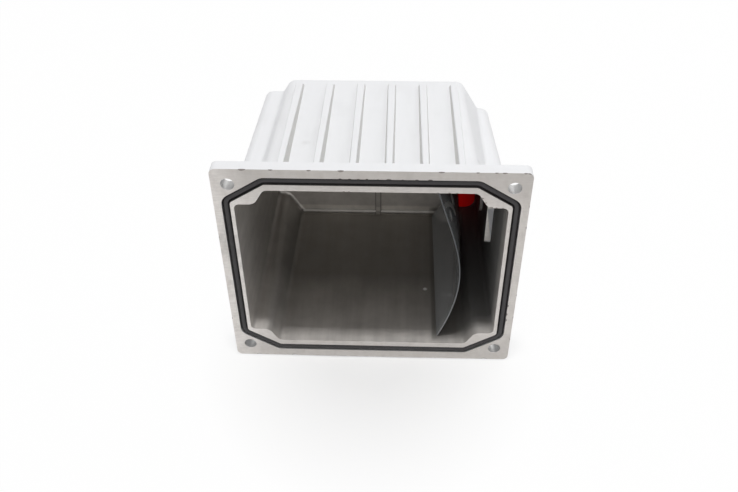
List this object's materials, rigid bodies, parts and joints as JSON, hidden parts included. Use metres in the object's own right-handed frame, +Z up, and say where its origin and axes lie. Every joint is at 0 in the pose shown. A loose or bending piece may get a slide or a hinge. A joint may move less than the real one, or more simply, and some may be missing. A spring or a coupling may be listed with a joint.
{
  "type": "die cast housing",
  "caption": "Open die cast box housing with a bolted flange, seal groove and cord, outside ribs, stepped corners, and a bowed divider sheet inside.",
  "frame": {"origin": "middle of the flange's machined face, on the centre of the four bolt holes", "axes": "+X along the flange's long side, -Y out of the mouth, +Z up to the ribbed top wall"},
  "size_m": [0.15, 0.1105, 0.1264],
  "materials": {
    "casting": "satin",
    "seal": "matte",
    "sheet": "gloss",
    "pad": "matte"
  },
  "bodies": {
    "root": {"housing": "casting", "seal_cord": "seal", "divider_sheet": "sheet", "red_pad": "pad"}
  },
  "joints": []
}
